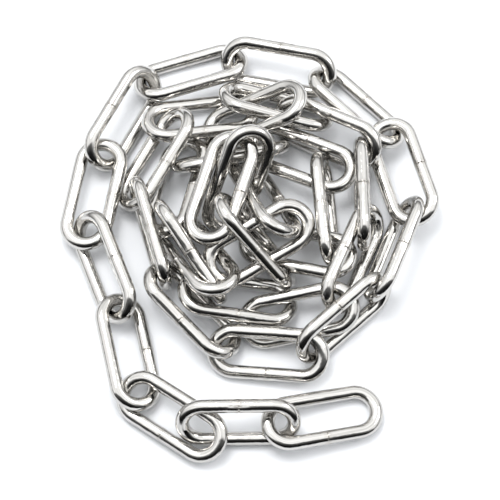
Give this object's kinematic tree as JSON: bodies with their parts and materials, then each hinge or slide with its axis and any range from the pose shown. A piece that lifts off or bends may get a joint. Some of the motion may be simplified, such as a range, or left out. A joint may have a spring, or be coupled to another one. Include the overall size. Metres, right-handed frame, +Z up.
{
  "type": "long-link chain",
  "caption": "Welded long-link steel chain of stadium-shaped wire links, lying coiled in a loose heap with one end led out in front.",
  "frame": {"origin": "middle of the heap's footprint, on the surface it lies on", "axes": "+Z up out of the surface; +Y away from the free end, the heap's longest side; +X to the right"},
  "size_m": [0.1404, 0.1638, 0.0317],
  "materials": {
    "polished_steel": "polished stainless wire, bright, with fine drawing lines along the wire and a dulled butt weld in the middle of one leg"
  },
  "bodies": {
    "link_01": {"link_01": "polished_steel"},
    "link_02": {"link_02": "polished_steel"},
    "link_03": {"link_03": "polished_steel"},
    "link_04": {"link_04": "polished_steel"},
    "link_05": {"link_05": "polished_steel"},
    "link_06": {"link_06": "polished_steel"},
    "link_07": {"link_07": "polished_steel"},
    "link_08": {"link_08": "polished_steel"},
    "link_09": {"link_09": "polished_steel"},
    "link_10": {"link_10": "polished_steel"},
    "link_11": {"link_11": "polished_steel"},
    "link_12": {"link_12": "polished_steel"},
    "link_13": {"link_13": "polished_steel"},
    "link_14": {"link_14": "polished_steel"},
    "link_15": {"link_15": "polished_steel"},
    "link_16": {"link_16": "polished_steel"},
    "link_17": {"link_17": "polished_steel"},
    "link_18": {"link_18": "polished_steel"},
    "link_19": {"link_19": "polished_steel"},
    "link_20": {"link_20": "polished_steel"},
    "link_21": {"link_21": "polished_steel"},
    "link_22": {"link_22": "polished_steel"},
    "link_23": {"link_23": "polished_steel"},
    "link_24": {"link_24": "polished_steel"},
    "link_25": {"link_25": "polished_steel"},
    "link_26": {"link_26": "polished_steel"},
    "link_27": {"link_27": "polished_steel"},
    "link_28": {"link_28": "polished_steel"},
    "link_29": {"link_29": "polished_steel"},
    "link_30": {"link_30": "polished_steel"},
    "link_31": {"link_31": "polished_steel"},
    "link_32": {"link_32": "polished_steel"},
    "link_33": {"link_33": "polished_steel"},
    "link_34": {"link_34": "polished_steel"},
    "link_35": {"link_35": "polished_steel"},
    "link_36": {"link_36": "polished_steel"},
    "link_37": {"link_37": "polished_steel"}
  },
  "joints": [
    {"name": "link_01_swing", "type": "hinge", "parent": "link_02", "child": "link_01", "pos_m": [0.01409, -0.06798, 0.00669], "axis": [0.1084, 0.0909, 0.9899], "range_deg": [-40, 3.47]},
    {"name": "link_02_swing", "type": "hinge", "parent": "link_03", "child": "link_02", "pos_m": [-0.01641, -0.06825, 0.00844], "axis": [0.0106, -0.7898, 0.6133], "range_deg": [-19, 0.57]},
    {"name": "link_03_swing", "type": "hinge", "parent": "link_04", "child": "link_03", "pos_m": [-0.03825, -0.05856, 0.00516], "axis": [-0.2301, -0.2671, 0.9358], "range_deg": [-40, 0.81]},
    {"name": "link_04_swing", "type": "hinge", "parent": "link_05", "child": "link_04", "pos_m": [-0.04676, -0.02929, 0.00601], "axis": [0.4444, 0.1017, 0.89], "range_deg": [-40, 0.81]},
    {"name": "link_05_swing", "type": "hinge", "parent": "link_06", "child": "link_05", "pos_m": [-0.06022, 0.0067, 0.00779], "axis": [-0.0716, 0.027, 0.9971], "range_deg": [-40, 0.69]},
    {"name": "link_06_swing", "type": "hinge", "parent": "link_07", "child": "link_06", "pos_m": [-0.05558, 0.03126, 0.00745], "axis": [-0.0716, 0.027, 0.9971], "range_deg": [-40, 0.23]},
    {"name": "link_07_swing", "type": "hinge", "parent": "link_08", "child": "link_07", "pos_m": [-0.03424, 0.06509, 0.0057], "axis": [-0.1279, 0.4041, 0.9057], "range_deg": [-40, 0.05]},
    {"name": "link_08_swing", "type": "hinge", "parent": "link_09", "child": "link_08", "pos_m": [-0.01038, 0.07256, 0.00573], "axis": [-0.1279, 0.4041, 0.9057], "range_deg": [-40, 0.05]},
    {"name": "link_09_swing", "type": "hinge", "parent": "link_10", "child": "link_09", "pos_m": [0.03157, 0.0629, 0.00696], "axis": [0.4122, 0.4262, 0.8053], "range_deg": [-40, 0]},
    {"name": "link_10_swing", "type": "hinge", "parent": "link_11", "child": "link_10", "pos_m": [0.05353, 0.03918, 0.00815], "axis": [-0.2883, -0.0182, 0.9574], "range_deg": [-7, 0]},
    {"name": "link_12_rock", "type": "hinge", "parent": "link_11", "child": "link_12", "pos_m": [0.05304, -0.00341, 0.01038], "axis": [-0.3773, -0.9226, 0.0799], "range_deg": [-1.25, 1.25]},
    {"name": "link_13_rock", "type": "hinge", "parent": "link_11", "child": "link_13", "pos_m": [0.04633, -0.01877, 0.01548], "axis": [-0.8043, -0.5859, -0.0987], "range_deg": [-1, 0.46]},
    {"name": "link_14_rock", "type": "hinge", "parent": "link_11", "child": "link_14", "pos_m": [0.01989, -0.03802, 0.01224], "axis": [-0.9788, -0.1106, -0.1726], "range_deg": [-1, 0.28]},
    {"name": "link_15_rock", "type": "hinge", "parent": "link_11", "child": "link_15", "pos_m": [-0.01305, -0.04084, 0.00465], "axis": [0.0227, -0.9317, -0.3624], "range_deg": [-1.44, 0.66]},
    {"name": "link_16_rock", "type": "hinge", "parent": "link_11", "child": "link_16", "pos_m": [-0.03642, 0.0025, 0.01005], "axis": [-0.2807, 0.9598, 0.0048], "range_deg": [-1.08, 1.25]},
    {"name": "link_17_rock", "type": "hinge", "parent": "link_11", "child": "link_17", "pos_m": [-0.039, 0.01842, 0.01412], "axis": [0.554, 0.8317, -0.0374], "range_deg": [-1.25, 0.16]},
    {"name": "link_18_rock", "type": "hinge", "parent": "link_11", "child": "link_18", "pos_m": [-0.02338, 0.04186, 0.01306], "axis": [0.8583, -0.0257, -0.5124], "range_deg": [-1.06, 0.36]},
    {"name": "link_19_rock", "type": "hinge", "parent": "link_11", "child": "link_19", "pos_m": [-0.01366, 0.03985, 0.00534], "axis": [0.6294, -0.5859, 0.5104], "range_deg": [-0.5, 8]},
    {"name": "link_20_rock", "type": "hinge", "parent": "link_11", "child": "link_20", "pos_m": [0.02832, 0.04946, 0.01388], "axis": [-0.8701, 0.4607, -0.1751], "range_deg": [-1, 4]},
    {"name": "link_21_rock", "type": "hinge", "parent": "link_11", "child": "link_21", "pos_m": [0.03999, 0.03681, 0.01184], "axis": [-0.4208, -0.5093, 0.7507], "range_deg": [-5.95, 0.65]},
    {"name": "link_22_rock", "type": "hinge", "parent": "link_11", "child": "link_22", "pos_m": [0.0418, 0.0053, 0.01266], "axis": [-0.9999, -0.0132, -0.0001], "range_deg": [-0.25, 3.5]},
    {"name": "link_23_rock", "type": "hinge", "parent": "link_11", "child": "link_23", "pos_m": [0.04105, 0.00822, 0.01736], "axis": [-0.4036, -0.9062, -0.1264], "range_deg": [-1.25, 0.5]},
    {"name": "link_24_rock", "type": "hinge", "parent": "link_11", "child": "link_24", "pos_m": [0.01808, -0.02783, 0.00693], "axis": [-0.9717, -0.1617, -0.1725], "range_deg": [-0.72, 0.85]},
    {"name": "link_25_rock", "type": "hinge", "parent": "link_11", "child": "link_25", "pos_m": [-0.00417, -0.02167, 0.00804], "axis": [-0.972, 0.0881, 0.2177], "range_deg": [-0.76, 1]},
    {"name": "link_26_rock", "type": "hinge", "parent": "link_11", "child": "link_26", "pos_m": [-0.02148, -0.00561, 0.01277], "axis": [-0.5529, 0.8037, 0.2197], "range_deg": [-1, 0.76]},
    {"name": "link_27_rock", "type": "hinge", "parent": "link_11", "child": "link_27", "pos_m": [-0.02728, 0.0214, 0.00842], "axis": [0.2342, 0.9495, -0.2089], "range_deg": [-3.4, 0.85]},
    {"name": "link_28_rock", "type": "hinge", "parent": "link_11", "child": "link_28", "pos_m": [-0.00687, 0.03318, 0.00932], "axis": [0.9781, 0.2083, 0.0001], "range_deg": [-3, 0.85]},
    {"name": "link_29_rock", "type": "hinge", "parent": "link_11", "child": "link_29", "pos_m": [0.0005, 0.03787, 0.00513], "axis": [0.9707, -0.1344, 0.1994], "range_deg": [-2.12, 2.14]},
    {"name": "link_30_rock", "type": "hinge", "parent": "link_11", "child": "link_30", "pos_m": [0.02934, -0.00053, 0.0097], "axis": [-0.9543, -0.084, -0.2867], "range_deg": [-1.82, 0.39]},
    {"name": "link_31_rock", "type": "hinge", "parent": "link_11", "child": "link_31", "pos_m": [0.00791, -0.00774, 0.00727], "axis": [0.9507, -0.2511, 0.1818], "range_deg": [-0.26, 5]},
    {"name": "link_32_rock", "type": "hinge", "parent": "link_11", "child": "link_32", "pos_m": [0.00232, -0.00222, 0.0158], "axis": [-0.6287, 0.5767, 0.5217], "range_deg": [-2, 2]},
    {"name": "link_33_rock", "type": "hinge", "parent": "link_11", "child": "link_33", "pos_m": [-0.00611, -0.00005, 0.02503], "axis": [-0.2546, 0.952, -0.1699], "range_deg": [-0.3, 0.76]},
    {"name": "link_34_rock", "type": "hinge", "parent": "link_11", "child": "link_34", "pos_m": [-0.01258, 0.02417, 0.02071], "axis": [0.8526, -0.284, -0.4386], "range_deg": [-0.46, 25]},
    {"name": "link_35_rock", "type": "hinge", "parent": "link_11", "child": "link_35", "pos_m": [-0.00277, 0.01973, 0.0161], "axis": [0.3834, -0.8071, 0.4489], "range_deg": [-8, 0.61]},
    {"name": "link_36_rock", "type": "hinge", "parent": "link_11", "child": "link_36", "pos_m": [0.00349, -0.00301, 0.0152], "axis": [-0.8583, -0.5069, -0.08], "range_deg": [-0.72, 0.76]},
    {"name": "link_37_swing", "type": "hinge", "parent": "link_11", "child": "link_37", "pos_m": [-0.01927, -0.00642, 0.01161], "axis": [-0.4928, 0.7527, -0.4365], "range_deg": [-0.61, 0.61]}
  ]
}
